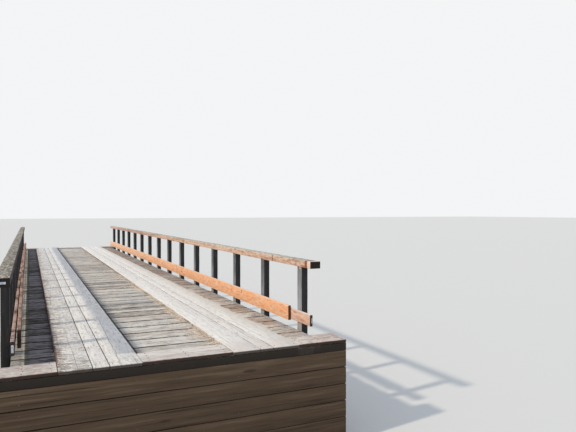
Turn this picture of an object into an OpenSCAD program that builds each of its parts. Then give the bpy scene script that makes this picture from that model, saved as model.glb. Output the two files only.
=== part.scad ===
// Timber footbridge, wide enough for a cart or a car, on four laminated girders.
// X runs across the bridge, Y along it and Z up. The near end is at -Y.
// The origin is on the ground, under the middle of the bridge. Millimetres.

/* [Deck] */
// Length of a deck plank, across the bridge
deck_w = 3276; // [2900:2:3500]
// Width of a deck plank
plank_w = 180; // [140:1:290]
// Thickness of a deck plank
plank_t = 89; // [50:1:120]
// Gap inside each pair of planks
tight_gap = 3; // [1:0.5:5]
// Least gap between one pair and the next
open_gap = 14; // [4:0.5:20]
// How far a plank's end may fall short of the deck's edge
end_stray = 14; // [0:1:30]
// Length of the planks at each end, which run out past the railings
end_plank_len = 3658; // [3400:10:4000]
// Seed of the uneven plank ends
stray_seed = 11; // [1:1:99]

/* [Wheel runners] */
// Width of the outer and the inner board of a runner
wide_board_w = 302; // [200:1:330]
// Width of the board between them
narrow_board_w = 150; // [90:1:200]
// Thickness of the runner boards and of the threshold planks
runner_t = 38; // [25:1:75]
// Joint between boards laid side by side
board_joint = 4; // [1:0.5:8]
// Clear width between the two runners
between_runners = 934; // [700:1:1100]
// Number of lengths in a wide runner board
runner_lengths = 3; // [2:1:5]

/* [Railing] */
// Posts on each side
post_count = 15; // [7:1:19]
// Distance from one post to the next
post_pitch = 1235; // [900:1:1500]
// Size of a post along the bridge
post_along = 127; // [89:1:180]
// Size of a post across the bridge
post_across = 89; // [60:1:140]
// How far a post reaches down the side of its girder
post_drop = 510; // [250:1:600]
// From the end of the deck to the middle of the first post on the right
end_reach = 854; // [700:1:1000]
// How much farther along the left posts stand than the right ones
left_post_shift = 165; // [0:1:250]
// From the deck to the underside of the top rail
rail_clear = 802; // [650:1:1100]
// Width of the top rail, laid flat
rail_w = 140; // [100:1:200]
// Thickness of the top rail
rail_t = 89; // [50:1:120]
// From the near end of the deck to the near end of the left rail
left_rail_inset = 225; // [40:1:600]
// From the near end of the deck to the near end of the right rail
right_rail_inset = 501; // [40:1:600]
// From the far end of the deck to the far end of both rails
far_rail_inset = 190; // [40:1:500]
// How far before the middle of a post two lengths of the top rail meet
rail_joint_lead = 430; // [0:10:500]
// Gap where two lengths of a rail or a kerb board meet
butt_gap = 3; // [1:0.5:6]

/* [Kerb boards] */
// From the deck to the underside of the backing board
backing_clear = 106; // [70:1:160]
// Height of the backing board
backing_h = 140; // [90:1:184]
// Thickness of the backing board
backing_t = 38; // [25:1:50]
// From the end of the deck to the end of the backing board
backing_inset = 485; // [100:1:600]
// How far the near end of the left backing board has sprung off its post
left_backing_spring = 14; // [0:1:16]
// From the deck to the underside of the kerb board, which is fixed over the backing board
kerb_clear = 94; // [60:1:120]
// Height of the kerb board
kerb_h = 190; // [150:1:240]
// Thickness of the kerb board
kerb_t = 38; // [25:1:50]
// From the near end of the deck to the near end of the left kerb board
left_kerb_inset = 845; // [600:1:1100]
// From the near end of the deck to the near end of the right kerb board
right_kerb_inset = 1022; // [600:1:1100]
// From the far end of the deck to the far end of both kerb boards
far_kerb_inset = 600; // [500:1:800]
// How far the near end of the left kerb board has sprung inwards, backing board and all
left_kerb_spring = 30; // [20:1:45]

/* [Girders and supports] */
// Width of a girder
girder_w = 171; // [120:1:250]
// Depth of a girder
girder_h = 762; // [600:1:900]
// Ledge of an outer girder that shows beyond the deck's edge
girder_ledge = 10; // [4:1:90]
// Thickness of the blocking between girders
blocking_t = 89; // [50:1:140]
// From the blocking to the girder's top and underside
blocking_inset = 76; // [40:1:150]
// Height of a sill timber
sill_h = 305; // [200:1:400]
// Width of a sill timber, two side by side at each end
sill_w = 305; // [200:1:400]
// Thickness of the backwall planks, which hold the earth off the girders
backwall_t = 89; // [50:1:120]
// Planks in the height of a backwall
backwall_planks = 4; // [2:1:6]

/* [Finish] */
// Eased edge of the planks, boards and posts
ease = 4; // [1:0.5:8]
// Eased edge of the girders and sills
heavy_ease = 8; // [2:0.5:16]

/* [Hidden] */

// Which way a side or an end faces
left = -1;
right = 1;
near = -1;
far = 1;

// Lengths and ends
deck_len = post_pitch * (post_count - 1) + 2 * end_reach;
near_y = -deck_len / 2;

// Heights
girder_top = sill_h + girder_h;
deck_top = girder_top + plank_t;
rail_z = deck_top + rail_clear;
backing_z = deck_top + backing_clear;
kerb_z = deck_top + kerb_clear;

// Widths, from the middle of the bridge outwards
girder_face = deck_w / 2 + girder_ledge;
outer_girder_x = girder_face - girder_w / 2;
inner_girder_x = outer_girder_x / 3;
runner_in = between_runners / 2;
middle_board_in = runner_in + wide_board_w + board_joint;
outer_board_in = middle_board_in + narrow_board_w + board_joint;
runner_out = outer_board_in + wide_board_w;

// Planks are laid in pairs, and the gaps between pairs take up what is left
pair_w = 2 * plank_w + tight_gap;
pair_count = floor((deck_len + open_gap) / (pair_w + open_gap));
pair_pitch = (deck_len - pair_w) / (pair_count - 1);
strays = rands(0, end_stray, 4 * pair_count, stray_seed);

// Middle of a post, counted from the near end
function post_y(side, i) =
    near_y + end_reach + (side == left ? left_post_shift : 0) + i * post_pitch;

// First and last of the pairs, or of the posts, in one of several equal shares
function share_first(count, shares, n) = floor(n * count / shares);
function share_last(count, shares, n) = floor((n + 1) * count / shares) - 1;

// Where the lengths of a rail or board end: its two ends, and by every fourth post from one given
function cuts(side, near_inset, far_inset, joint_post, lead = 0) = [
    near_y + near_inset,
    for (i = [joint_post : 4 : post_count - 2]) post_y(side, i) - lead,
    -near_y - far_inset
];

module eased_section(a, b, e) {
    polygon([[e, 0], [a - e, 0], [a, e], [a, b - e], [a - e, b], [e, b], [0, b - e], [0, e]]);
}

// A timber along X, from x0 to x1, with the corner of its section at y and z
module timber_x(x0, x1, y, z, w, h, e = ease) {
    translate([x0, y, z]) rotate([90, 0, 90]) linear_extrude(x1 - x0) eased_section(w, h, e);
}

// A timber along Y, from y0 to y1, with its width centred on x
module timber_y(x, y0, y1, z, w, h, e = ease) {
    translate([x - w / 2, y1, z]) rotate([90, 0, 0]) linear_extrude(y1 - y0) eased_section(w, h, e);
}

// A line of boards along Y, cut at each of the places given.
// The near end of the first may stand off the line, towards +X, by the spring.
module lengths_y(x, places, z, w, h, spring = 0) {
    for (i = [0 : len(places) - 2]) {
        y0 = places[i] + (i == 0 ? 0 : butt_gap / 2);
        y1 = places[i + 1] - (i == len(places) - 2 ? 0 : butt_gap / 2);
        turn = i == 0 ? asin(spring / (y1 - y0)) : 0;
        translate([x, y1, 0]) rotate(turn) timber_y(0, y0 - y1, 0, z, w, h);
    }
}

// Two timbers side by side under the ends of the girders
module sill(end) {
    color("#4a4036")
    for (row = [0, 1]) {
        inward = row * (sill_w + board_joint);
        y = end == near ? near_y + inward : -near_y - inward - sill_w;
        timber_x(-end_plank_len / 2, end_plank_len / 2, y, 0, sill_w, sill_h, heavy_ease);
    }
}

// Planks on edge across the girders' ends, from the sill up to the deck
module backwall(end) {
    height = (girder_h - (backwall_planks - 1) * board_joint) / backwall_planks;
    y = end == near ? near_y : -near_y - backwall_t;
    color("#5a4e42")
    for (i = [0 : backwall_planks - 1])
        timber_x(-end_plank_len / 2, end_plank_len / 2, y,
                 sill_h + i * (height + board_joint), backwall_t, height);
}

// A laminated beam from one backwall to the other
module girder(x) {
    color("#6e5a44")
    timber_y(x, near_y + backwall_t, -near_y - backwall_t, sill_h, girder_w, girder_h, heavy_ease);
}

// Three blocks across the bridge, one in each space between the girders
module blocking(y) {
    girders = [-outer_girder_x, -inner_girder_x, inner_girder_x, outer_girder_x];
    color("#65543f")
    for (i = [0 : 2])
        timber_x(girders[i] + girder_w / 2, girders[i + 1] - girder_w / 2, y - blocking_t / 2,
                 sill_h + blocking_inset, blocking_t, girder_h - 2 * blocking_inset);
}

// One of the four groups of deck planks. The first and last pairs are the long ones.
module deck_planks(group) {
    color("#9a9086")
    for (pair = [share_first(pair_count, 4, group) : share_last(pair_count, 4, group)], k = [0, 1]) {
        y = near_y + pair * pair_pitch + k * (plank_w + tight_gap);
        at_end = pair == 0 || pair == pair_count - 1;
        x0 = at_end ? -end_plank_len / 2 : -deck_w / 2 + strays[4 * pair + k];
        x1 = at_end ? end_plank_len / 2 : deck_w / 2 - strays[4 * pair + 2 + k];
        timber_x(x0, x1, y, girder_top, plank_w, plank_t);
    }
}

// A line of runner boards, from one end of the deck to the other.
// The narrow line starts and ends with a half length, so that its joints fall between the others'.
module runner_board(side, inner_x, w, staggered) {
    step = deck_len / runner_lengths;
    start = staggered ? step / 2 : step;
    color("#c9c2b8")
    lengths_y(side * (inner_x + w / 2),
              [near_y, for (y = [near_y + start : step : -near_y - step / 4]) y, -near_y],
              deck_top, w, runner_t);
}

// A pair of planks that fills the end of the deck up to the runners' height
module threshold(end, x0, x1) {
    y = end == near ? near_y : -near_y - pair_w;
    color("#b3aba0")
    for (k = [0, 1])
        timber_x(x0, x1, y + k * (plank_w + tight_gap), deck_top, plank_w, runner_t);
}
threshold_out = end_plank_len / 2;
threshold_in = runner_out + board_joint;
threshold_mid = runner_in - board_joint;

// One of the three groups of posts on a side, standing against the outer girder
module posts(side, group) {
    foot = girder_top - post_drop;
    x = side == right ? girder_face : -girder_face - post_across;
    color("#33353a")
    for (i = [share_first(post_count, 3, group) : share_last(post_count, 3, group)])
        translate([x, post_y(side, i) - post_along / 2, foot])
        linear_extrude(rail_z - foot) eased_section(post_across, post_along, ease);
}

module top_rail(side) {
    near_inset = side == left ? left_rail_inset : right_rail_inset;
    color("#8a5a44")
    lengths_y(side * (girder_face + post_across / 2),
              cuts(side, near_inset, far_rail_inset, 1, rail_joint_lead), rail_z, rail_w, rail_t);
}

module backing_board(side) {
    color("#b07a58")
    lengths_y(side * (girder_face - backing_t / 2),
              cuts(side, backing_inset, backing_inset, 3), backing_z, backing_t, backing_h,
              side == left ? left_backing_spring : 0);
}

module kerb_board(side) {
    near_inset = side == left ? left_kerb_inset : right_kerb_inset;
    color("#d9773f")
    lengths_y(side * (girder_face - backing_t - kerb_t / 2),
              cuts(side, near_inset, far_kerb_inset, 5), kerb_z, kerb_t, kerb_h,
              side == left ? left_kerb_spring : 0);
}

end_blocking_y = near_y + sill_w;

sill(near);  // near_sill
sill(far);  // far_sill
backwall(near);  // near_backwall
backwall(far);  // far_backwall
girder(-outer_girder_x);  // left_outer_girder
girder(-inner_girder_x);  // left_inner_girder
girder(inner_girder_x);  // right_inner_girder
girder(outer_girder_x);  // right_outer_girder
blocking(end_blocking_y);  // near_end_blocking
blocking(near_y / 2);  // near_quarter_blocking
blocking(0);  // middle_blocking
blocking(-near_y / 2);  // far_quarter_blocking
blocking(-end_blocking_y);  // far_end_blocking
deck_planks(0);  // near_deck_planks
deck_planks(1);  // near_middle_deck_planks
deck_planks(2);  // far_middle_deck_planks
deck_planks(3);  // far_deck_planks
runner_board(left, outer_board_in, wide_board_w, false);  // left_runner_outer_board
runner_board(left, middle_board_in, narrow_board_w, true);  // left_runner_middle_board
runner_board(left, runner_in, wide_board_w, false);  // left_runner_inner_board
runner_board(right, runner_in, wide_board_w, false);  // right_runner_inner_board
runner_board(right, middle_board_in, narrow_board_w, true);  // right_runner_middle_board
runner_board(right, outer_board_in, wide_board_w, false);  // right_runner_outer_board
threshold(near, -threshold_out, -threshold_in);  // near_threshold_left
threshold(near, -threshold_mid, threshold_mid);  // near_threshold_middle
threshold(near, threshold_in, threshold_out);  // near_threshold_right
threshold(far, -threshold_out, -threshold_in);  // far_threshold_left
threshold(far, -threshold_mid, threshold_mid);  // far_threshold_middle
threshold(far, threshold_in, threshold_out);  // far_threshold_right
posts(left, 0);  // left_near_posts
posts(left, 1);  // left_middle_posts
posts(left, 2);  // left_far_posts
posts(right, 0);  // right_near_posts
posts(right, 1);  // right_middle_posts
posts(right, 2);  // right_far_posts
top_rail(left);  // left_top_rail
top_rail(right);  // right_top_rail
backing_board(left);  // left_kerb_backing_board
backing_board(right);  // right_kerb_backing_board
kerb_board(left);  // left_kerb_board
kerb_board(right);  // right_kerb_board
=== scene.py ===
import math
import random
import bmesh
import bpy
import numpy as np
from mathutils import Matrix, Vector


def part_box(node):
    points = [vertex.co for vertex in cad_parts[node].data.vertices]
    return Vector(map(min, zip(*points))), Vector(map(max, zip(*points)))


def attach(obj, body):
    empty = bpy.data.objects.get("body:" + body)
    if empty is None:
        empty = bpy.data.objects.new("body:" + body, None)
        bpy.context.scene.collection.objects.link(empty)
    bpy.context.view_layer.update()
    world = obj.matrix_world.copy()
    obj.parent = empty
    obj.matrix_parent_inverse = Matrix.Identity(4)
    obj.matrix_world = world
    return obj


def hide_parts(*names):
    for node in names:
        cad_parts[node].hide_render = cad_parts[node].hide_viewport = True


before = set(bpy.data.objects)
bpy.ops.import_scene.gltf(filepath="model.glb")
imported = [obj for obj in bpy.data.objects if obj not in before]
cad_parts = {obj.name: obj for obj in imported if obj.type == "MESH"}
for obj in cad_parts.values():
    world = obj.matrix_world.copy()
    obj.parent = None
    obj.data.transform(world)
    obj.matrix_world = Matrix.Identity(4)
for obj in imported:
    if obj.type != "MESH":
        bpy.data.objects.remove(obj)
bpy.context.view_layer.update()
bpy.ops.object.select_all(action="DESELECT")
chance = random.Random(21)  # seeded, as all the random numbers are, so each run gives the same bridge

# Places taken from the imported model, in metres
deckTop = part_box("near_middle_deck_planks")[1].z
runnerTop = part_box("left_runner_outer_board")[1].z
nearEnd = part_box("near_deck_planks")[0].y
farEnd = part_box("far_deck_planks")[1].y
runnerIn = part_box("right_runner_inner_board")[0].x
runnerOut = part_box("right_runner_outer_board")[1].x
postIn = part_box("right_near_posts")[0].x
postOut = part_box("right_near_posts")[1].x
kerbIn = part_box("right_kerb_board")[0].x
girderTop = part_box("right_outer_girder")[1].z
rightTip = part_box("right_top_rail")[0].y
shadeEdge = kerbIn - 0.05  # on the left, the deck from here to the runner is always in shade


def addToScene(thing):
    bpy.context.scene.collection.objects.link(thing)


# Camera, lights and floor

cameraSetup = {
    "across": -1.462,  # m from the bridge's middle line, to its left
    "beforeEnd": 5.475,  # m in front of the near end
    "aboveDeck": 1.5,  # m from the deck's top to the eye
    "turn": 25.0,  # degrees to the right of the bridge's length
    "tilt": -0.4645,  # degrees, down
    "lens": 34.6875,  # mm
    "sensor": 36,  # mm, its width
    "clip": 600,  # m, beyond which nothing shows
}

lightSetup = {
    "keyStrength": 2.14,
    "keySoftness": 2.6,  # degrees across
    "keyHeight": 34.4,  # degrees above the floor
    "keyTurn": 10,  # degrees from square across the bridge, towards the near end
    "keyAway": 40,  # m, where the lamp's marker stands
    "keyColour": (1.0, 0.90, 0.72),
    "fillStrength": 0.74,
    "fillColour": (0.82, 0.89, 1.0, 1),
    "backdropColour": (0.90, 0.91, 0.92, 1),
    "floorColour": (0.70, 0.70, 0.69, 1),
    "floorSize": 420,  # m
}


def placeCamera():
    setup = cameraSetup
    data = bpy.data.cameras.new("camera")
    data.lens = setup["lens"]
    data.sensor_width = setup["sensor"]
    data.clip_end = setup["clip"]
    camera = bpy.data.objects.new("camera", data)
    addToScene(camera)
    eye = (nearEnd - setup["beforeEnd"], deckTop + setup["aboveDeck"])
    camera.location = (setup["across"], *eye)
    pitch = math.radians(90 + setup["tilt"])
    camera.rotation_euler = (pitch, 0, math.radians(-setup["turn"]))
    bpy.context.scene.camera = camera


def placeKeyLight():
    setup = lightSetup
    rise = math.radians(setup["keyHeight"])
    turn = math.radians(setup["keyTurn"])
    flat = math.cos(rise)
    toLamp = Vector((-flat * math.cos(turn), -flat * math.sin(turn), math.sin(rise)))
    data = bpy.data.lights.new("keyLight", "SUN")
    data.energy = setup["keyStrength"]
    data.angle = math.radians(setup["keySoftness"])
    data.color = setup["keyColour"]
    lamp = bpy.data.objects.new("keyLight", data)
    addToScene(lamp)
    lamp.location = toLamp * setup["keyAway"]
    lamp.rotation_euler = (-toLamp).to_track_quat("-Z", "Y").to_euler()


# Shader helpers: a Wire is a socket that takes part in sums, a Paint is the tree it belongs to,
# and a Coat is a colour in the making


def colour(red, green, blue):
    # 0 to 255 as on a screen, to the linear values of a shader
    screen = [red / 255, green / 255, blue / 255]
    linear = [c / 12.92 if c <= 0.04045 else ((c + 0.055) / 1.055) ** 2.4 for c in screen]
    return (*linear, 1)


def maths(operation, turned=False):
    # a method that adds a Math node, turned for the reflected form of an operator
    def method(self, other=None):
        first, second = (other, self) if turned else (self, other)
        values = {0: first} if second is None else {0: first, 1: second}
        return self.paint.node("ShaderNodeMath", {"operation": operation}, values)

    return method


class Wire:
    def __init__(self, paint, socket):
        self.paint = paint
        self.socket = socket

    __add__ = maths("ADD")
    __radd__ = maths("ADD", turned=True)
    __sub__ = maths("SUBTRACT")
    __rsub__ = maths("SUBTRACT", turned=True)
    __mul__ = maths("MULTIPLY")
    __rmul__ = maths("MULTIPLY", turned=True)
    __truediv__ = maths("DIVIDE")
    __rtruediv__ = maths("DIVIDE", turned=True)
    __pow__ = maths("POWER")
    __rpow__ = maths("POWER", turned=True)
    __abs__ = maths("ABSOLUTE")
    most = maths("MAXIMUM")
    least = maths("MINIMUM")
    wave = maths("SINE")
    whole = maths("FLOOR")
    fraction = maths("FRACT")

    def fade(self, start, stop, low=0.0, high=1.0):
        # low before the start and high past the stop, with a smooth step between them
        values = {"Value": self, "From Min": start, "From Max": stop, "To Min": low, "To Max": high}
        settings = {"interpolation_type": "SMOOTHSTEP"}
        return self.paint.node("ShaderNodeMapRange", settings, values)


class Paint:
    def __init__(self, owner, look=None):
        # the owner is a material or the world, and a look gives its colours their names
        owner.use_nodes = True
        self.owner = owner
        self.tree = owner.node_tree
        self.look = {name: colour(*tone) for name, tone in (look or {}).items()}

    def fill(self, node, values):
        for name, value in values.items():
            if isinstance(value, Wire):
                self.tree.links.new(value.socket, node.inputs[name])
            else:
                node.inputs[name].default_value = value

    def node(self, kind, settings=None, values=None, output=0):
        made = self.tree.nodes.new(kind)
        for name, value in (settings or {}).items():
            setattr(made, name, value)
        self.fill(made, values or {})
        return Wire(self, made.outputs[output])

    def finish(self, values):
        # the values or wires of the material's own shader
        self.fill(self.tree.nodes["Principled BSDF"], values)
        return self.owner

    def coat(self, under):
        return Coat(self, under)

    def attribute(self, name):
        return self.node("ShaderNodeAttribute", {"attribute_name": name}, output="Vector")

    def coords(self):
        return self.node("ShaderNodeTexCoord", output="Object")

    def split(self, vector):
        parts = self.node("ShaderNodeSeparateXYZ", values={0: vector})
        outputs = parts.socket.node.outputs
        return [Wire(self, outputs[axis]) for axis in range(3)]

    def stretch(self, vector, scale, shift=(0, 0, 0)):
        settings = {"operation": "MULTIPLY_ADD"}
        return self.node("ShaderNodeVectorMath", settings, {0: vector, 1: scale, 2: shift})

    def noise(self, vector, scale=1.0, detail=3.0, roughness=0.55, warp=0.0):
        values = {"Scale": scale, "Detail": detail, "Roughness": roughness, "Distortion": warp}
        values["Vector"] = vector
        return self.node("ShaderNodeTexNoise", {"noise_dimensions": "3D"}, values)

    def cloud(self, scale, shift=(0, 0, 0), **more):
        # a noise that runs on from piece to piece
        return self.noise(self.stretch(self.coords(), scale, shift), **more)

    def cells(self, vector, output="Distance"):
        values = {"Vector": vector, "Scale": 1.0}
        return self.node("ShaderNodeTexVoronoi", {"feature": "F1"}, values, output)

    def bump(self, height, strength, distance):
        values = {"Height": height, "Strength": strength, "Distance": distance}
        return self.node("ShaderNodeBump", values=values)


class Coat:
    # a colour built up layer over layer, each a name from the paint's look or another coat

    def __init__(self, paint, under):
        self.paint = paint
        self.colour = paint.look[under]

    def lay(self, amount, over):
        top = self.paint.look[over] if isinstance(over, str) else over.colour
        values = {0: amount, 6: self.colour, 7: top}
        self.colour = self.paint.node("ShaderNodeMix", {"data_type": "RGBA"}, values, 2)
        return self

    def roughen(self, dark, pale, amount):
        # short dark and pale flecks along the grain, from the size of a hand down to a pinhead
        fleck = self.paint.figure((6, 32, 32), detail=5, roughness=0.75)
        self.lay(fleck.fade(0.50, 0.64) * amount, dark)
        self.lay(fleck.fade(0.49, 0.36) * amount, pale)


def newPaint(name, look=None):
    return Paint(bpy.data.materials.new(name), look)


def lightWorld():
    # what the camera, gloss and glass see is the pale backdrop, and the fill lights all else
    world = bpy.data.worlds.new("world")
    bpy.context.scene.world = world
    paint = Paint(world)
    paint.tree.nodes.remove(paint.tree.nodes["Background"])
    fill = {"Color": lightSetup["fillColour"], "Strength": lightSetup["fillStrength"]}
    ray = paint.node("ShaderNodeLightPath").socket.node.outputs
    seen = Wire(paint, ray["Is Camera Ray"]).most(Wire(paint, ray["Is Glossy Ray"]))
    seen = seen.most(Wire(paint, ray["Is Transmission Ray"]))
    lit = paint.node("ShaderNodeBackground", values=fill)
    shown = {"Color": lightSetup["backdropColour"], "Strength": 1}
    backdrop = paint.node("ShaderNodeBackground", values=shown)
    mixed = paint.node("ShaderNodeMixShader", values={0: seen, 1: lit, 2: backdrop})
    paint.fill(paint.tree.nodes["World Output"], {"Surface": mixed})


def layFloor():
    bpy.ops.mesh.primitive_plane_add(size=lightSetup["floorSize"], location=(0, 0, 0))
    floor = bpy.context.object
    floor.name = "floor"
    values = {"Base Color": lightSetup["floorColour"], "Roughness": 0.9}
    floor.data.materials.append(newPaint("floorPaint").finish(values))
    floor.select_set(False)


bpy.context.scene.view_settings.view_transform = "Standard"
placeCamera()
placeKeyLight()
lightWorld()
layFloor()
print("camera, lights and floor are in place")


# Modelling helpers


smoothAngle = math.radians(35)  # faces that meet at less than this are shaded as one
mergeWithin = 0.0002  # m, between points of a CAD solid that are one
capDepth = 0.02  # m, how far from a timber's end its points still belong to that end
onPlane = 1e-4  # m, how far from a plane a point may be to count as on it


def selectOnly(things):
    bpy.ops.object.select_all(action="DESELECT")
    for thing in things:
        thing.select_set(True)
    bpy.context.view_layer.objects.active = things[0]


def remove(things):
    selectOnly(things)
    bpy.ops.object.delete()


def copyOf(source):
    # a copy with its own mesh
    copy = source.copy()
    copy.data = source.data.copy()
    addToScene(copy)
    return copy


def joinAs(name, copies, material):
    # one piece of the copies, where they stand
    bpy.context.view_layer.update()
    selectOnly(copies)
    bpy.ops.object.transform_apply()
    if len(copies) > 1:
        bpy.ops.object.join()
    piece = bpy.context.object
    piece.name = name
    piece.data.name = name
    piece.data.materials.clear()
    piece.data.materials.append(material)
    return piece


def editMode(on=True):
    bpy.ops.object.mode_set(mode="EDIT" if on else "OBJECT")


def pick(thing, kind, wanted):
    # in edit mode, selects just the vertices, edges or faces that wanted() is true of
    bpy.ops.mesh.select_mode(type=kind)
    bpy.ops.mesh.select_all(action="DESELECT")
    shape = bmesh.from_edit_mesh(thing.data)
    parts = {"VERT": shape.verts, "EDGE": shape.edges, "FACE": shape.faces}[kind]
    for part in parts:
        if wanted(part):
            part.select_set(True)
    bmesh.update_edit_mesh(thing.data)


def timbersOf(node):
    # each separate timber of a CAD node, from a merged copy: how it is turned from lying along X,
    # its middle and its size along itself
    selectOnly([copyOf(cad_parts[node])])
    editMode()
    bpy.ops.mesh.select_all(action="SELECT")
    bpy.ops.mesh.remove_doubles(threshold=mergeWithin)
    bpy.ops.mesh.separate(type="LOOSE")
    editMode(False)
    timbers = []
    for part in bpy.context.selected_objects:
        points = np.array([vertex.co for vertex in part.data.vertices])
        axis = int(np.ptp(points, 0).argmax())
        along = points[:, axis]
        farCap = points[along > along.max() - capDepth].mean(0)
        nearCap = points[along < along.min() + capDepth].mean(0)
        way = farCap - nearCap
        if axis == 2:
            turn = Matrix.Rotation(-math.pi / 2, 4, "Y")
        else:
            turn = Matrix.Rotation(math.atan2(way[1], way[0]), 4, "Z")
        own = points @ np.array(turn.to_3x3())
        low, high = own.min(0), own.max(0)
        timbers.append((turn, turn @ Vector((low + high) / 2), high - low))
    bpy.ops.object.delete()
    return sorted(timbers, key=lambda timber: tuple(round(value, 3) for value in timber[1]))


def measure(thing):
    points = np.array([vertex.co for vertex in thing.data.vertices])
    return points.min(0), points.max(0)


def applyModifiers(thing):
    selectOnly([thing])
    for modifier in list(thing.modifiers):
        bpy.ops.object.modifier_apply(modifier=modifier.name)


# How the end splits vary
splitSetup = {
    "reach": (0.4, 1),  # the least and the most, of the style's splitReach
    "gap": (0.6, 1),  # of its splitGap
    "place": (0.2, 0.7),  # of the width that each split has to itself
    "height": (0.7, 1.4),  # of the timber's height, half of it above the timber
    "innerGap": 0.04,  # of the gap, at the split's inner end
    "drift": 3,  # gaps to one side of the split, to where it narrows
}


def cutSplits(timber, size, style, seed):
    # thin wedges cut into the ends, where drying has opened the wood along its grain, each
    # narrowed to an edge at its inner end and drawn a little to one side there
    draw = random.Random(seed)
    wedges = []
    for end in (-1, 1):
        for share in range(style["splits"]):
            reach = style["splitReach"] * draw.uniform(*splitSetup["reach"])
            gap = style["splitGap"] * draw.uniform(*splitSetup["gap"])
            place = share + draw.uniform(*splitSetup["place"])
            across = size[1] * (place / style["splits"] - 0.5)
            bpy.ops.mesh.primitive_cube_add(
                size=1,
                location=(end * size[0] / 2, across, size[2] * 0.5),
                scale=(2 * reach, gap, size[2] * draw.uniform(*splitSetup["height"])),
            )
            wedge = bpy.context.object
            bpy.ops.object.transform_apply()
            editMode()
            inner = end * (size[0] / 2 - reach)
            pick(wedge, "VERT", lambda v: abs(v.co.x - inner) < onPlane)
            bpy.ops.transform.resize(
                value=(1, splitSetup["innerGap"], 1),
                center_override=(inner, across + gap * splitSetup["drift"], 0),
            )
            editMode(False)
            wedges.append(wedge)
    selectOnly(wedges)
    bpy.ops.object.join()
    cutter = bpy.context.object
    cut = timber.modifiers.new("splits", "BOOLEAN")
    cut.object = cutter
    cut.operation = "DIFFERENCE"
    cut.solver = "EXACT"
    applyModifiers(timber)
    remove([cutter])


def sawTimber(name, size, style, seed):
    # a timber along X with its edges rounded and worn, the top edges more than the lower ones
    bpy.ops.mesh.primitive_cube_add(size=1, location=(0, 0, 0), scale=size)
    timber = bpy.context.object
    timber.name = name
    bpy.ops.object.transform_apply()
    editMode()

    def isLong(edge):
        return abs(edge.verts[0].co.x - edge.verts[1].co.x) > size[0] * 0.5

    pick(timber, "EDGE", isLong)
    bpy.ops.mesh.subdivide(number_cuts=style["loops"])
    pick(timber, "VERT", lambda v: abs(v.co.x) < size[0] / 2 - capDepth)
    bpy.ops.transform.vertex_random(offset=style["wear"], uniform=1.0, normal=0.0, seed=seed)
    step = size[0] / (style["loops"] + 1)

    def isCorner(edge, top):
        a, b = edge.verts[0].co, edge.verts[1].co
        return abs(a.x - b.x) > step * 0.5 and (a.z > 0) == top

    pick(timber, "EDGE", lambda edge: isCorner(edge, True))
    bpy.ops.mesh.bevel(offset=style["roundTop"], segments=style["steps"], affect="EDGES")
    pick(timber, "EDGE", lambda edge: isCorner(edge, False))
    bpy.ops.mesh.bevel(offset=style["roundUnder"], segments=2, affect="EDGES")
    pick(timber, "EDGE", lambda edge: all(abs(v.co.x) > size[0] / 2 - onPlane for v in edge.verts))
    bpy.ops.mesh.bevel(offset=style["roundEnd"], segments=1, affect="EDGES")
    bpy.ops.mesh.select_all(action="SELECT")
    bpy.ops.mesh.bisect(plane_co=(0, 0, 0), plane_no=(0, 1, 0))
    pick(timber, "VERT", lambda v: abs(v.co.y) < onPlane and v.co.z > 0)
    bpy.ops.transform.translate(value=(0, 0, -style["cup"]))
    bpy.ops.mesh.select_all(action="SELECT")
    bpy.ops.mesh.normals_make_consistent(inside=False)
    editMode(False)
    if style["splits"]:
        cutSplits(timber, size, style, seed)
    selectOnly([timber])
    bpy.ops.object.shade_smooth_by_angle(angle=smoothAngle)
    return timber


def markTimber(timber, scale, half, draws):
    # what the wood paints read: the place in the timber, half its size, and three random numbers
    count = len(timber.data.vertices)
    points = np.empty(count * 3)
    timber.data.vertices.foreach_get("co", points)
    place = points.reshape(-1, 3) * np.array(scale)
    for name, values in (
        ("place", place),
        ("half", np.tile(half, (count, 1))),
        ("luck", np.tile(draws, (count, 1))),
    ):
        attribute = timber.data.attributes.new(name, "FLOAT_VECTOR", "POINT")
        attribute.data.foreach_set("vector", values.ravel())


timberStock = {}
laid = {}  # the place of every timber of a node that has been laid


def stockTimbers(styleName, size, style):
    # the few sawn timbers of one section, from which all the copies are made
    key = (styleName, *[round(value, 2) for value in size])
    if key not in timberStock:
        timberStock[key] = [
            sawTimber(f"{styleName}Stock{kind}", size, style, 10 * len(timberStock) + kind)
            for kind in range(style["kinds"])
        ]
    return timberStock[key]


def layTimbers(node, styleName, material):
    # a worn timber in the place of each solid of the node, joined to one piece
    style = {**commonStyle, **timberStyles[styleName]}
    timbers = timbersOf(node)
    laid[node] = timbers
    stock = stockTimbers(styleName, timbers[0][2], style)
    copies = []
    for turn, middle, size in timbers:
        copy = copyOf(chance.choice(stock))
        lowest, highest = measure(copy)
        scale = size / (highest - lowest)
        half = Matrix.Rotation(math.pi * chance.randint(0, 1), 4, style["turnAbout"])
        facing = np.diag(np.array(half.to_3x3())).round()
        markTimber(copy, scale * facing, size / 2, [chance.random() for _ in range(3)])
        copy.matrix_world = (
            Matrix.Translation(middle)
            @ turn
            @ half
            @ Matrix.Diagonal((*scale, 1))
            @ Matrix.Translation(Vector(-(lowest + highest) / 2))
        )
        copies.append(copy)
    piece = joinAs(node + "_worn", copies, material)
    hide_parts(node)
    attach(piece, "root")


# The gaps between the pairs of planks, along the bridge
plankSides = sorted(
    (middle.y - size[1] / 2, middle.y + size[1] / 2)
    for _, middle, size in timbersOf("near_deck_planks")
)
pairPitch = plankSides[4][0] - plankSides[2][0]
firstGap = (plankSides[1][1] + plankSides[2][0]) / 2

# Wood paints

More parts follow.
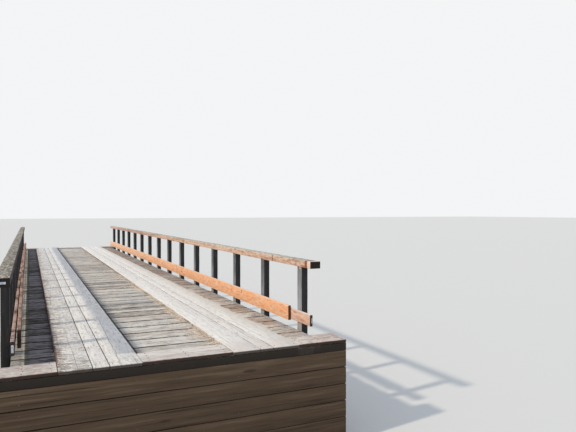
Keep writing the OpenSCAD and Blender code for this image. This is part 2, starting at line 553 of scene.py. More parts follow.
woodSetup = {
    "slatyPlanks": 4.23,  # m from the near end to the middle of a few darker planks
    "longSplit": 1.35,  # m from the near end to the middle of a split in the left runner
    "splitAcross": -0.668,  # m from the bridge's middle line to that split, at the near end
    "splitDrift": 0.022,  # m that it moves to the right on each metre
    "splitWander": 0.09,  # m, the most that it strays from side to side
    "railNotches": 3.15,  # m from the near end to half way between two marks on the right rail
    "notchReach": 0.267,  # m from half way to each of them
    "kerbGash": 2.767,  # m from the near end to a mark on the right kerb board
    "lamination": 0.0381,  # m, the thickness of a girder's layers
}


class WoodPaint(Paint):
    # the measures and grains that all the wood paints share, in metres

    def __init__(self, name, look, roughness, specular, depth):
        super().__init__(bpy.data.materials.new(name), look)
        self.roughness = roughness
        self.specular = specular
        self.depth = depth
        self.place = self.attribute("place")
        luck = self.attribute("luck")
        self.along, self.across, self.up = self.split(self.place)
        self.halfLong, self.halfWide, self.halfTall = self.split(self.attribute("half"))
        self.luckA, self.luckB, self.luckC = self.split(luck)
        self.x, self.y, self.z = self.split(self.coords())
        self.fromEnd = self.y - nearEnd
        self.leftSide = self.x.fade(0.1, -0.1)
        self.sideGap = self.halfWide - abs(self.across)
        self.topGap = self.halfTall - self.up
        self.underGap = self.halfTall + self.up
        self.endGap = self.halfLong - abs(self.along)
        self.shift = self.stretch(luck, (37, 53, 71))
        self.streak = self.figure((1.0, 26, 26), detail=4)
        self.grain = self.figure((3.5, 110, 110), detail=3)
        self.fibre = self.figure((12, 420, 420), detail=1)
        self.patch = self.noise(self.coords(), scale=1.4, detail=4)
        self.spots = self.noise(self.coords(), scale=22, detail=3)
        core = self.up + self.luckB * 0.12 + 0.05
        reach = (self.across**2 + core**2) ** 0.5
        self.rings = (reach * 950 + self.streak * 9).wave() * 0.5 + 0.5

    def figure(self, scale, **more):
        # a noise along the grain, different on each timber
        return self.noise(self.stretch(self.place, scale, self.shift), **more)

    def spread(self, amount):
        # about 0 to 1, mostly from the streaks of the grain, partly from the timber's own luck
        mixed = self.streak * 0.9 + self.grain * 0.35 + self.rings * 0.08
        return mixed + (self.luckA - 0.5) * amount - 0.18

    def knots(self, density, size=1.0):
        # oval spots here and there, drawn out along the grain
        vector = self.stretch(self.place, (1.6, 7.5, 7.5), self.shift)
        near = self.cells(vector).fade(0.17 * size, 0.07 * size)
        choice = self.split(self.cells(vector, output="Color"))[0]
        return near * choice.fade(1 - density, 1 - density + 0.02)

    def cracks(self, start, stop):
        # fine dark lines that run with the grain, sunk into the bump too
        self.crack = self.figure((0.55, 60, 60), detail=2).fade(start, stop)
        return self.crack

    def farOff(self):
        # 0 towards the near end and 1 towards the far one, where the wood is paler
        return self.y.fade(-5, 9)

    def shadedFace(self):
        # the face that a board on the left turns to the deck, away from the sun: painted shade
        offTop = self.topGap.fade(0.001, 0.005)
        return self.leftSide * offTop * (self.halfWide + self.across).fade(0.006, 0.002)

    def layTop(self, wood):
        # the upper faces of kerb and backing boards, darker and stained on the left
        upper = self.topGap.fade(0.004, 0.001)
        wood.lay(upper * 0.85, self.coat("bleached").lay(self.leftSide, "top"))
        stained = upper * (self.patch + self.spots * 0.8).fade(0.86, 1.0) * self.leftSide
        wood.lay(stained * 0.75, "shaded")

    def finishWood(self, wood, height=None):
        if height is None:
            height = self.grain * 0.6 + self.fibre * 0.25 + self.streak * 0.5
            height = height + self.rings * 0.12 - self.crack * 1.2
        values = {"Base Color": wood.colour, "Roughness": self.roughness}
        values["Specular IOR Level"] = self.specular
        values["Normal"] = self.bump(height, 0.8, self.depth)
        return self.finish(values)


def deckPaint():
    look = {
        "dark": (132, 124, 116), "middle": (188, 181, 173), "pale": (220, 215, 208),
        "distant": (222, 216, 213), "brown": (162, 134, 112), "rust": (184, 149, 122),
        "slate": (158, 162, 166), "shadow": (92, 92, 97), "aged": (128, 121, 118),
        "darkest": (14, 13, 15), "shadePale": (118, 115, 121), "darkGreen": (50, 53, 42),
        "dirt": (46, 40, 35), "gap": (36, 31, 28), "straw": (228, 214, 198),
        "dust": (218, 212, 204),
    }
    paint = WoodPaint("weatheredDeck", look, 0.9, 0.25, 0.004)
    x, fromEnd, patch, spots = paint.x, paint.fromEnd, paint.patch, paint.spots
    dusty = (fromEnd + patch * 0.3).fade(2.5, 2.1)
    outside = x.fade(runnerOut - 0.05, runnerOut + 0.05)
    tone = paint.spread(0.56) + dusty * 0.2 + outside * 0.16 + (patch - 0.5) * 0.4
    blotch = paint.cloud((9, 16, 9), (3, 1, 7), detail=4, warp=0.8)
    tone = tone + (blotch - 0.5) * (outside * 1.3 + 0.4)
    wood = paint.coat("dark").lay(tone.fade(0.14, 0.42), "middle")
    wood.lay(tone.fade(0.42, 0.74), "pale")
    wood.lay(dusty * 0.25, "pale")
    wood.lay(paint.farOff() * 0.45, "distant")
    wood.roughen("dark", "pale", 1.0)
    redness = (paint.luckC + patch - 0.5).fade(0.25, 0.8)
    wood.lay(redness * (outside * 0.5 + 0.14), "brown")
    wood.lay(blotch.fade(0.5, 0.62) * outside * 0.4, "rust")
    slaty = blotch.fade(0.42, 0.34) * (outside * 0.6 + 0.15)
    darkPlanks = abs(fromEnd - woodSetup["slatyPlanks"]).fade(0.48, 0.40)
    slaty = slaty.most(darkPlanks * tone.fade(0.8, 0.2) * 0.7)
    wood.lay(slaty, "slate")
    # painted shade beside the left runner: the shadow of the rail and of the runner itself, and a
    # dark line at the runner's foot, shade with some dirt
    besideLeft = abs(x + runnerIn)
    wood.lay(besideLeft.fade(0.115, 0.06) * 0.36, "shadow")
    wood.lay(besideLeft.fade(0.056, 0.040) * 0.85, "gap")
    scraped = paint.figure((4, 44, 44), detail=4)
    scraped = scraped.fade(0.53, 0.62) * (outside * 0.5 + 0.12)
    wood.lay(scraped, "dirt")
    ragged = paint.cloud((8, 5, 8), (2, 9, 4), detail=5)
    drifted = (x - (ragged - 0.5) * 0.7).fade(runnerOut + 0.13, runnerOut + 0.05)
    drifted = drifted * outside * fromEnd.fade(9, 3)
    aged = fromEnd.fade(3, 9) * outside
    wood.lay(aged * 0.5, "aged")
    lip = (x + spots * 0.03).fade(shadeEdge + 0.05, shadeEdge + 0.08)
    wood.lay(lip * 0.5, "slate")
    # painted shade on the left strip: its planks are painted dark, darker from 0.55 m to about 2.3 m
    # from the near end, with a painted sheen, a paler band along the strip's middle
    sheen = abs(x + (runnerOut + shadeEdge) / 2).fade(0.20, 0.04)
    shadeTone = tone + (blotch - 0.5) * 1.6 + (paint.luckB - 0.5) * 0.5 + sheen * 0.2
    deepShade = fromEnd.fade(0.52, 0.58)
    deepShade = deepShade * fromEnd.fade(3.0, 1.6)
    shadeTone = shadeTone + paint.streak * 0.3 - deepShade * 0.22
    shadeCoat = paint.coat("darkest").lay(shadeTone.fade(0.46, 1.12), "shadePale")
    # the strip from the shade's edge to the left runner, where the dark coat of painted shade is laid
    inShade = x.fade(-shadeEdge, 0.02 - shadeEdge)
    shadeStrip = inShade * x.fade(0.02 - runnerOut, -runnerOut)
    shadeCoat.roughen("darkest", "shadePale", 0.6)
    wood.lay(shadeStrip * 0.95, shadeCoat)
    # a dark green band along the edge of the shade, and the deck under the left kerb darker and
    # greener
    greenBand = abs(x + shadeEdge - 0.03).fade(0.035, 0.01)
    wood.lay(greenBand * 0.7, "darkGreen")
    underKerb = x.fade(0.01 - shadeEdge, -0.01 - shadeEdge)
    wood.lay(underKerb * 0.42, "darkGreen")
    wood.lay(paint.cracks(0.66, 0.72) * 0.6, "dirt")
    wood.lay(paint.knots(0.25) * 0.6, "dirt")
    pairs = (paint.y - firstGap) / pairPitch + 200.5  # above 0, with each gap at a half
    fromGap = abs(pairs.fraction() - 0.5) * pairPitch
    worn = (fromGap + (spots - 0.5) * 0.04).fade(0.027, 0.013)
    filled = blotch.fade(0.44, 0.56) * outside
    wood.lay(worn * (0.95 - filled * 0.55), "gap")
    wood.lay(drifted * 0.85, "dust")
    # darker along each plank's sides in the joints, and more so in the shaded strip as painted shade
    grime = (paint.sideGap + spots * 0.016).fade(0.013, 0.004)
    wood.lay(grime * (shadeStrip * 0.4 + 0.5), "gap")
    upper = paint.topGap.fade(0.006, 0.002)
    beside = x.fade(runnerIn - 0.10, runnerIn - 0.04) * upper
    beside = beside * x.fade(runnerIn + 0.02, runnerIn)
    littered = (spots + (patch - 0.5) * 0.8).fade(0.36, 0.6)
    littered = littered * paint.y.fade(0, -4)
    wood.lay(beside * littered * 0.75, "straw")
    under = paint.topGap.fade(0.010, 0.03)
    wood.lay(under * 0.7, "dirt")
    # the end faces at the near and far ends darkened: painted shade, with some dirt
    front = abs(paint.y).fade(farEnd - 0.012, farEnd - 0.004)
    wood.lay(front * 0.9, "dirt")
    return paint.finishWood(wood)


def runnerPaint():
    look = {
        "dark": (178, 173, 168), "middle": (219, 214, 209), "pale": (238, 235, 231),
        "distant": (241, 239, 240), "dirt": (70, 62, 56), "stain": (146, 132, 124),
        "dust": (228, 223, 217), "edge": (84, 54, 47), "tip": (160, 152, 141),
        "rightTip": (216, 206, 200), "greenBand": (204, 203, 190), "straw": (230, 211, 192),
    }
    paint = WoodPaint("dustyRunner", look, 0.88, 0.25, 0.003)
    x, fromEnd, patch, leftSide = paint.x, paint.fromEnd, paint.patch, paint.leftSide
    tone = paint.spread(0.25)
    wood = paint.coat("dark").lay(tone.fade(0.0, 0.38), "middle")
    wood.lay(tone.fade(0.3, 0.66), "pale")
    dusty = patch.fade(0.42, 0.66)
    wood.lay(dusty * 0.6, "dust")
    wood.lay(paint.farOff() * 0.7, "distant")
    wood.roughen("dark", "pale", 0.68)
    wood.lay(paint.cracks(0.67, 0.72) * 0.5, "dirt")
    nearness = fromEnd.fade(6, 0.2)
    outerEdge = (x + patch * 0.12).fade(0.20 - runnerOut, 0.06 - runnerOut)
    feather = paint.cloud((9, 22, 9), detail=4, warp=1.2)
    stain = outerEdge * feather.fade(0.40, 0.56) * (nearness * 0.4 + 0.55)
    wood.lay(stain * leftSide * 0.95, "stain")
    outerBoard = x.fade(-0.90, -0.95)
    blotchy = feather.fade(0.46, 0.66) * (leftSide * 0.12 + outerBoard * 0.58)
    wood.lay(blotchy, "stain")
    outerRight = x.fade(0.98, 1.2)
    wood.lay((1 - leftSide) * 0.25, "pale")
    wood.lay(outerRight * (feather * 1.2 - 0.1) * 0.7, "greenBand")
    tipward = (fromEnd + patch * 0.5).fade(0.9, 0.4)
    wood.lay(tipward * (1 - leftSide) * 0.65, "rightTip")
    atTip = (fromEnd + patch * 0.3).fade(0.9, 0.3)
    soiled = atTip * feather.fade(0.42, 0.56) * (outerBoard * 0.55 + 0.12)
    wood.lay(soiled, "tip")
    specks = paint.cloud((75, 120, 75), detail=3)
    speckle = (specks + atTip * 0.05 + outerEdge * 0.03 + nearness * 0.02).fade(0.64, 0.70)
    wood.lay(speckle * leftSide * 0.5, "dirt")
    wood.lay(paint.knots(0.16, 0.6) * 0.5, "dirt")
    grime = (paint.sideGap + paint.spots * 0.01).fade(0.010, 0.004)
    wood.lay(grime * 0.75, "dirt")
    streaks = paint.cloud((6, 18, 6), detail=4)
    inward = (x + patch * 0.2).fade(0.32 - runnerOut, 0.10 - runnerOut)
    dashes = streaks.fade(0.52, 0.58) * inward * leftSide
    wood.lay(dashes * 0.75, "edge")
    rim = (x + paint.spots * 0.03).fade(0.038 - runnerOut, 0.022 - runnerOut)
    pastTip = abs(paint.y).fade(farEnd - 0.30, farEnd - 0.40)
    wood.lay(rim * leftSide * pastTip * 0.85, "edge")
    wander = paint.cloud((0, 3.4, 0), detail=4, roughness=0.7)
    splitAt = fromEnd * woodSetup["splitDrift"] + woodSetup["splitAcross"]
    splitAt = splitAt + (wander - 0.5) * woodSetup["splitWander"]
    longSplit = abs(x - splitAt).fade(0.0045, 0.0025)
    longSplit = longSplit * abs(fromEnd - woodSetup["longSplit"]).fade(1.3, 1.0)
    wood.lay(longSplit * 0.55, "dirt")
    # the sides below the top are darker wood, and darker still on the left runner as painted shade,
    # since its sides lie in shade
    side = paint.topGap.fade(0.005, 0.014)
    wood.lay(side * (pastTip * leftSide * 0.35 + 0.6), "edge")
    strawy = abs(x - runnerIn).fade(0.012, 0.006) * side
    strawy = strawy * paint.y.fade(0, -4)
    strawy = strawy * (paint.spots + (patch - 0.5) * 0.8).fade(0.30, 0.5)
    wood.lay(strawy * 0.8, "straw")
    # the end faces at the near and far ends darkened: painted shade, with some dirt
    front = abs(paint.y).fade(farEnd - 0.010, farEnd - 0.004)
    wood.lay(front * paint.topGap.fade(0.006, 0.014) * 0.9, "dirt")
    return paint.finishWood(wood)


def thresholdPaint():
    look = {
        "dark": (162, 152, 145), "middle": (208, 201, 196), "pale": (233, 229, 222),
        "pink": (190, 140, 124), "soil": (112, 100, 90), "dirt": (40, 32, 28),
    }
    paint = WoodPaint("paleThreshold", look, 0.88, 0.25, 0.004)
    tone = paint.spread(0.3)
    wood = paint.coat("dark").lay(tone.fade(0.05, 0.4), "middle")
    wood.lay(tone.fade(0.38, 0.72), "pale")
    ends = abs(paint.x).fade(runnerOut - 0.02, runnerOut + 0.1)
    wood.roughen("dark", "pale", ends * 0.4 + 0.6)
    bright = (paint.streak + (paint.grain - 0.5) * 0.3).fade(0.50, 0.60)
    wood.lay(bright * ends * 0.5, "pale")
    rightEnd = (paint.x + paint.streak * 0.5).fade(runnerOut + 0.2, runnerOut + 0.7)
    trodden = (paint.patch + (paint.spots - 0.5) * 0.7).fade(0.44, 0.58)
    wood.lay(ends * (trodden * 0.4 + 0.08), "dark")
    trampled = paint.cloud((11, 34, 11), (5, 2, 1), detail=4)
    wood.lay(ends * trampled.fade(0.54, 0.64) * 0.5, "soil")
    pinkStreak = (paint.streak + paint.luckA * 0.05).fade(0.5, 0.62)
    wood.lay(pinkStreak * (rightEnd * 0.55 + 0.18), "pink")
    wood.lay(paint.cracks(0.66, 0.72) * 0.6, "dirt")
    grime = (paint.sideGap + paint.spots * 0.012).fade(0.010, 0.003)
    wood.lay(grime * 0.35, "dirt")
    wood.lay(paint.knots(0.2, 0.8) * 0.6, "dirt")
    front = abs(paint.y).fade(farEnd - 0.010, farEnd - 0.005)
    wood.lay(front * 0.6, "pink")
    # the end face below its top edge darkened: painted shade, with some dirt
    lower = (paint.topGap + paint.spots * 0.01).fade(0.008, 0.013)
    wood.lay(front * lower * 0.95, "dirt")
    return paint.finishWood(wood)


def railPaint():
    look = {
        "stain": (186, 142, 118), "worn": (214, 186, 166), "deep": (128, 82, 62),
        "rose": (196, 128, 112), "greyDark": (118, 112, 104), "grey": (206, 198, 182),
        "lichen": (136, 140, 120), "dirt": (84, 76, 68), "bleached": (218, 214, 204),
        "pinkish": (178, 158, 158), "cream": (226, 204, 186), "end": (32, 27, 24),
        "shaded": (36, 31, 30),
    }
    paint = WoodPaint("fadedRail", look, 0.82, 0.3, 0.003)
    spots, leftSide = paint.spots, paint.leftSide
    tone = paint.spread(0.2)
    mottle = paint.figure((4, 26, 26), detail=4)
    tone = tone + (mottle - 0.5) * 0.5
    side = paint.coat("deep").lay(tone.fade(0.12, 0.5), "stain")
    side.lay((tone + paint.patch * 0.3).fade(0.42, 0.85), "worn")
    side.lay(paint.patch.fade(0.56, 0.68) * 0.5, "rose")
    top = paint.coat("greyDark").lay(tone.fade(0.12, 0.55), "grey")
    top.lay(spots.fade(0.52, 0.62) * 0.6, "greyDark")
    rough = paint.cloud((60, 38, 60), detail=3)
    roughness = leftSide * 0.35 + 0.45
    top.lay(rough.fade(0.52, 0.60) * roughness, "dirt")
    top.lay(rough.fade(0.47, 0.38) * 0.6, "bleached")
    side.lay(paint.farOff() * 0.5, "pinkish")
    side.roughen("deep", "worn", 0.7)
    top.roughen("dirt", "bleached", 0.6)
    growth = (paint.patch + spots * 0.3).fade(0.56, 0.8) * (leftSide * 0.5 + 0.2)
    top.lay(growth, "lichen")
    top.lay(leftSide * 0.66, "greyDark")
    blots = paint.cloud((34, 13, 34), detail=4, warp=0.6)
    top.lay(blots.fade(0.50, 0.57) * leftSide * 0.75, "dirt")
    top.lay(blots.fade(0.46, 0.39) * leftSide * 0.5, "bleached")
    rightSide = 1 - leftSide
    notch = abs(abs(paint.fromEnd - woodSetup["railNotches"]) - woodSetup["notchReach"])
    notch = (notch + spots * 0.01).fade(0.018, 0.010) * rightSide
    side.lay(notch * 0.7, "end")
    weather = (paint.topGap + (paint.streak - 0.5) * 0.02).fade(0.016, 0.004)
    wood = side.lay(weather, top)
    wood.lay(paint.cracks(0.66, 0.72) * 0.6, "end")
    wood.lay(paint.knots(0.6, 1.0) * 0.9, "deep")
    joint = (paint.endGap + spots * 0.02).fade(0.030, 0.012)
    wood.lay(joint * 0.85, "deep")
    fromTip = paint.y - rightTip
    cream = (fromTip + spots * 0.02).fade(0.105, 0.085) * rightSide
    wood.lay(cream * 0.85, "cream")
    band = abs(fromTip - 0.14 + paint.streak * 0.03).fade(0.04, 0.02) * rightSide
    wood.lay(band * 0.95, "deep")
    wood.lay(paint.shadedFace() * 0.95, "shaded")
    endFace = paint.endGap.fade(0.006, 0.002)
    wood.lay(endFace, "end")
    return paint.finishWood(wood)


def backingPaint():
    look = {
        "deep": (150, 108, 88), "stain": (210, 170, 148), "worn": (226, 202, 188),
        "top": (170, 146, 141), "bleached": (236, 222, 214), "end": (27, 22, 22),
        "shaded": (40, 31, 28),
    }
    paint = WoodPaint("pinkBacking", look, 0.8, 0.3, 0.003)
    tone = paint.spread(0.2)
    wood = paint.coat("deep").lay(tone.fade(0.08, 0.4), "stain")
    wood.lay(tone.fade(0.38, 0.75), "worn")
    wood.roughen("deep", "worn", 0.5)
    wood.lay(paint.cracks(0.67, 0.73) * 0.5, "end")
    wood.lay(paint.knots(0.3, 0.8) * 0.7, "deep")
    paint.layTop(wood)
    wood.lay(paint.shadedFace() * 0.95, "shaded")
    wood.lay(paint.endGap.fade(0.005, 0.002) * 0.95, "end")
    return paint.finishWood(wood)


def kerbPaint():
    look = {
        "deep": (166, 98, 62), "stain": (228, 175, 137), "bright": (242, 165, 113),
        "worn": (234, 202, 176), "top": (160, 126, 114), "bleached": (238, 200, 170),
        "shaded": (38, 24, 18), "end": (80, 37, 15), "endShaded": (13, 7, 5),
        "knot": (122, 64, 36),
    }
    paint = WoodPaint("orangeKerb", look, 0.75, 0.3, 0.0025)
    tone = paint.spread(0.2)
    wood = paint.coat("deep").lay(tone.fade(0.02, 0.36), "stain")
    mottle = paint.figure((3, 30, 30), detail=4)
    wood.lay(mottle.fade(0.46, 0.60) * 0.7, "bright")
    wood.lay((mottle + tone * 0.3).fade(0.58, 0.46) * 0.2, "worn")
    fine = paint.figure((7, 90, 90), detail=3)
    wood.lay(fine.fade(0.54, 0.64) * 0.3, "deep")
    wood.lay(paint.farOff() * 0.62, "worn")
    wood.roughen("deep", "worn", 0.5)
    rim = (paint.topGap.least(paint.underGap) + paint.spots * 0.02).fade(0.026, 0.012)
    wood.lay(rim * 0.6, "worn")
    paint.layTop(wood)
    wood.lay(paint.cracks(0.69, 0.74) * 0.5, "end")
    wood.lay(paint.knots(0.8, 0.75) * 0.9, "knot")
    gash = abs(paint.fromEnd - woodSetup["kerbGash"]).fade(0.014, 0.007)
    gash = gash * (1 - paint.leftSide)
    gash = gash * abs(paint.topGap - 0.045).fade(0.035, 0.02)
    wood.lay(gash * 0.8, "end")
    wood.lay(paint.shadedFace() * 0.95, "shaded")
    endTone = paint.coat("end").lay(paint.leftSide, "endShaded")
    wood.lay(paint.endGap.fade(0.005, 0.002) * 0.95, endTone)
    return paint.finishWood(wood)


def postPaint():
    look = {
        "black": (22, 23, 26), "worn": (42, 42, 46), "sunlitScuff": (150, 153, 159),
        "sunlitWear": (176, 178, 182), "bare": (206, 172, 140), "footBare": (168, 158, 145),
    }
    paint = WoodPaint("blackPost", look, 0.65, 0.35, 0.0025)
    tone = paint.spread(0.2)
    wood = paint.coat("black").lay(tone.fade(0.2, 0.7), "worn")
    # painted light: the deck faces of the right posts, turned to the sun, are laid in paler greys for
    # the sunlight and a glancing sheen on the black paint, mixed with wear
    deckFace = abs(paint.x).fade(postIn + 0.006, postIn + 0.001)
    sunny = deckFace * paint.x.fade(-0.1, 0.1)
    sunlitWear = sunny * (tone + paint.patch * 0.4).fade(0.1, 0.6)
    firstPost = paint.y.fade(rightTip + 0.6, rightTip + 0.5)
    lowDown = (paint.z + paint.patch * 0.3).fade(deckTop + 0.85, deckTop + 0.4)
    wood.lay(sunlitWear * (lowDown * 0.42 + firstPost * 0.33 + 0.29), "sunlitScuff")
    wood.roughen("black", "sunlitScuff", sunny * 0.38 + 0.05)
    # paler still towards one edge of that face, also painted light
    farCorner = (paint.halfWide - paint.across).fade(0.012, 0.004)
    wood.lay(farCorner * sunny * 0.45, "sunlitWear")
    below = paint.z.fade(deckTop + 0.105, deckTop + 0.095)
    wood.lay(sunny * below * 0.58, "footBare")
    fromTop = paint.halfLong - paint.along
    bare = abs(fromTop - 0.026 + paint.spots * 0.02).fade(0.016, 0.010) * sunny
    bare = bare * abs(paint.across - 0.01 + paint.grain * 0.05).fade(0.03, 0.02)
    bare = bare * (firstPost * 0.8 + 0.2)
    wood.lay(bare * 0.85, "bare")
    wood.lay(paint.cracks(0.68, 0.74) * 0.5, "black")
    return paint.finishWood(wood)


def girderPaint():
    look = {
        "dark": (92, 70, 50), "middle": (134, 103, 74), "pale": (160, 130, 98),
        "glue": (54, 40, 30),
    }
    paint = WoodPaint("laminatedGirder", look, 0.8, 0.3, 0.003)
    layer = (paint.z - girderTop) / woodSetup["lamination"]
    settings = {"noise_dimensions": "1D"}
    own = paint.node("ShaderNodeTexWhiteNoise", settings, {"W": layer.whole()})
    tone = paint.spread(0.1) + (own - 0.5) * 0.35
    wood = paint.coat("dark").lay(tone.fade(0.1, 0.45), "middle")
    wood.lay(tone.fade(0.45, 0.8), "pale")
    glueLine = abs(layer.fraction() - 0.5).fade(0.47, 0.49)
    wood.lay(glueLine * 0.8, "glue")
    soiled = (paint.patch + paint.z.fade(0.9, 0.3) * 0.25).fade(0.5, 0.8)
    wood.lay(soiled * 0.5, "glue")
    height = paint.grain * 0.5 + paint.streak * 0.3 - glueLine * 0.8
    return paint.finishWood(wood, height)


def heavyTimberPaint():
    look = {
        "dark": (48, 38, 30), "middle": (84, 68, 54), "pale": (116, 98, 80),
        "darkest": (34, 30, 26),
    }
    paint = WoodPaint("darkTimber", look, 0.9, 0.25, 0.005)
    tone = paint.spread(0.25)
    wood = paint.coat("dark").lay(tone.fade(0.12, 0.5), "middle")
    wood.lay(tone.fade(0.5, 0.85), "pale")
    wood.lay(paint.cracks(0.64, 0.72) * 0.7, "darkest")
    darkest = (paint.z + paint.patch * 0.3).fade(0.42, 0.12)
    wood.lay(darkest * 0.7, "darkest")
    wood.lay(paint.knots(0.2) * 0.6, "darkest")
    return paint.finishWood(wood)


# Paints of the fittings and the straw


def steelPaint():
    look = {"steel": (120, 118, 116), "dull": (92, 86, 82), "rust": (96, 58, 38)}
    paint = newPaint("rustySteel", look)
    spots = paint.noise(paint.coords(), scale=90, detail=3)
    patch = paint.noise(paint.coords(), scale=5, detail=2)
    steel = paint.coat("steel").lay(spots.fade(0.4, 0.6), "dull")
    rusted = (spots + patch * 0.6).fade(0.68, 0.86)
    steel.lay(rusted, "rust")
    values = {"Base Color": steel.colour, "Roughness": rusted.fade(0, 1, 0.5, 0.85)}
    values["Metallic"] = rusted.fade(0, 1, 0.8, 0.1)
    values["Normal"] = paint.bump(spots, 0.5, 0.0006)
    return paint.finish(values)


def tagPaint():
    paint = newPaint("whiteTag", {"white": (216, 224, 234), "soiled": (112, 120, 130)})
    grime = paint.noise(paint.coords(), scale=60, detail=3)
    tag = paint.coat("white").lay(grime.fade(0.4, 0.6) * 0.6, "soiled")
    return paint.finish({"Base Color": tag.colour, "Roughness": 0.45})


def strawPaint():
    look = {"pale": (240, 232, 222), "tan": (221, 200, 180), "brown": (128, 105, 88)}
    paint = newPaint("dryStraw", look)
    luckA, luckB, _ = paint.split(paint.attribute("luck"))
    straw = paint.coat("pale").lay(luckA, "tan")
    straw.lay(luckB.fade(0.6, 0.9) * 0.8, "brown")
    return paint.finish({"Base Color": straw.colour, "Roughness": 0.85})


# Timbers: how each kind is sawn and worn, in metres where it isn't a count

commonStyle = {
    "steps": 2,  # faces of the rounding along the top edges
    "roundUnder": 0.004,
    "roundEnd": 0.003,
    "cup": 0.0,  # how far the middle of the top lies below its edges
    "splits": 0,  # at each end
    "splitGap": 0.006,  # the widest that a split opens
    "turnAbout": "Z",  # the axis for the half turns that make its copies differ
}

# kinds are sawn of each section, with loops of points along them, moved by up to wear
timberStyles = {
    "deck": {
        "kinds": 5, "loops": 15, "wear": 0.0018, "roundTop": 0.007, "cup": 0.002,
        "splits": 2, "splitReach": 0.12,
    },
    "runner": {
        "kinds": 4, "loops": 27, "wear": 0.0015, "roundTop": 0.006, "cup": 0.002,
        "splits": 2, "splitReach": 0.22,
    },
    "threshold": {
        "kinds": 2, "loops": 9, "wear": 0.002, "roundTop": 0.008, "steps": 3, "cup": 0.002,
        "splits": 2, "splitReach": 0.10,
    },
    "rail": {
        "kinds": 3, "loops": 21, "wear": 0.0015, "roundTop": 0.008, "steps": 3,
        "roundUnder": 0.005, "cup": 0.001, "splits": 2, "splitReach": 0.16, "splitGap": 0.005,
    },
    "board": {"kinds": 3, "loops": 21, "wear": 0.0012, "roundTop": 0.005, "roundEnd": 0.002},
    "post": {
        "kinds": 4, "loops": 7, "wear": 0.0012, "roundTop": 0.006, "roundUnder": 0.006,
        "roundEnd": 0.004, "turnAbout": "X",
    },
    "heavy": {
        "kinds": 2, "loops": 13, "wear": 0.0015, "roundTop": 0.009, "roundUnder": 0.007,
        "roundEnd": 0.005, "cup": 0.001, "splits": 2, "splitReach": 0.14,
    },
    "girder": {
        "kinds": 1, "loops": 23, "wear": 0.0008, "roundTop": 0.008, "roundUnder": 0.008,
        "roundEnd": 0.004,
    },
}

sides = ("left", "right")
ends = ("near", "far")
deckParts = [f"{part}_deck_planks" for part in ("near", "near_middle", "far_middle", "far")]
runnerBoards = ("outer", "middle", "inner")
thresholds = [f"{end}_threshold_{part}" for end in ends for part in ("left", "middle", "right")]
posts = [f"{side}_{part}_posts" for side in sides for part in ("near", "middle", "far")]
blockingRows = ("near_end", "near_quarter", "middle", "far_quarter", "far_end")

timberPieces = {
    "deck": (deckPaint, deckParts),
    "runner": (
        runnerPaint,
        [f"left_runner_{board}_board" for board in runnerBoards]
        + [f"right_runner_{board}_board" for board in reversed(runnerBoards)],
    ),
    "threshold": (thresholdPaint, thresholds),
    "rail": (railPaint, [f"{side}_top_rail" for side in sides]),
    "post": (postPaint, posts),
    "girder": (
        girderPaint,
        [f"{row}_girder" for row in ("left_outer", "left_inner", "right_inner", "right_outer")],
    ),
    "heavy": (
        heavyTimberPaint,
        [f"{end}_{part}" for part in ("sill", "backwall") for end in ends]
        + [f"{row}_blocking" for row in blockingRows],
    ),
}

for styleName, (makePaint, nodes) in timberPieces.items():
    material = makePaint()
    for node in nodes:
        layTimbers(node, styleName, material)
    print(f"{styleName}: {len(nodes)} pieces laid")

boardPaints = {"kerb_backing_board": backingPaint(), "kerb_board": kerbPaint()}
for side in sides:
    for part, material in boardPaints.items():
        layTimbers(f"{side}_{part}", "board", material)
for timbers in timberStock.values():
    remove(timbers)
print("kerb boards laid")


# Spikes, bolts, tags and straw

fastenerSetup = {
    "spikeRadius": 0.0055,  # m
    "spikeHeight": 0.003,  # m
    "spikeCrown": 0.0008,  # m, how far its middle stands above its rim
    "boltRadius": 0.013,  # m, to the corners of the hexagon
    "washerRadius": 0.024,  # m
    "boltHeight": 0.011,  # m
    "washerShare": 0.22,  # of that height, for the washer
    "easeShare": 0.12,  # of the bolt's radius, off the head's upper edge
    "rimShare": 0.35,  # of a head's radius, for the rim round its raised top
    "boltDrops": (0.10, 0.30),  # m below the girder's top
    "deckRow": 1.545,  # m from the bridge's middle line to the spikes of the deck
    "deckBare": 0.38,  # m of the deck's ends without them
    "deckStray": (0.008, 0.006),  # m, the most that they stray across and along
    "boardStray": 0.01,  # m, the most that those of the runners and thresholds stray
    "runnerStep": 0.76,  # m between the spikes of a runner board
    "runnerBare": 0.16,  # m of a runner board, both ends together, past its last spikes
    "edgeInset": 0.032,  # m from a runner board's edge to its spikes
    "quarters": (-0.25, 0.25),  # of a board's width, for a pair of spikes side by side
    "thresholdShares": (-0.42, 0, 0.42),  # of a threshold's length from its middle
    "backwallRows": (-1.55, -0.52, 0.52, 1.55),  # m from the bridge's middle line
    "railPair": ((-0.022, -0.03), (0.022, 0.03)),  # m across and along from a post's middle
    "sink": 0.0025,  # m that a head is let into the wood
    "fullSink": 0.0038,  # m, on the rails and backwalls, where it reaches no further than they do
}


def makeHead(name, radius, height, sides, crown):
    # a head or a washer, standing on the origin, with a rim and a middle raised above it by crown
    bpy.ops.mesh.primitive_cylinder_add(
        vertices=sides, radius=radius, depth=height, location=(0, 0, height / 2)
    )
    head = bpy.context.object
    head.name = name
    bpy.ops.object.transform_apply()
    editMode()
    pick(head, "FACE", lambda face: face.normal.z > 0.9)
    bpy.ops.mesh.inset(thickness=radius * fastenerSetup["rimShare"])
    bpy.ops.transform.translate(value=(0, 0, crown))
    editMode(False)
    bpy.ops.object.shade_smooth_by_angle(angle=smoothAngle)
    return head


